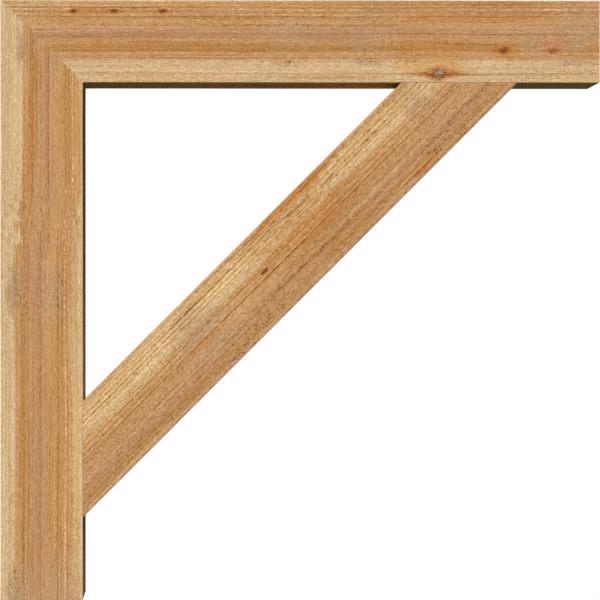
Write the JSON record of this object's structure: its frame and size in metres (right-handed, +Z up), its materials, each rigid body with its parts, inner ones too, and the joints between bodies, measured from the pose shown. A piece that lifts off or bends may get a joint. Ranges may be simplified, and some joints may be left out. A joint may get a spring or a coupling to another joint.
{
  "type": "offset brace bracket",
  "caption": "Square timber wall bracket: post and arm mitred at the corner, with a diagonal brace butted between them, set in from both free ends.",
  "frame": {"origin": "top back edge at half the width, where the wall plane (back of the post) meets the soffit plane (top of the arm)", "axes": "+X out from the wall along the arm, +Y across the bracket away from the viewer of its front, +Z up along the post"},
  "size_m": [1.016, 0.1396, 1.016],
  "materials": {
    "cedar_timber": "rough sawn, unfinished softwood with knots",
    "screw_steel": "dull stainless steel"
  },
  "bodies": {
    "root": {"wall_post": "cedar_timber", "top_arm": "cedar_timber", "diagonal_brace": "cedar_timber", "corner_screws": "screw_steel", "brace_foot_screws": "screw_steel", "brace_head_screws": "screw_steel"}
  },
  "joints": []
}
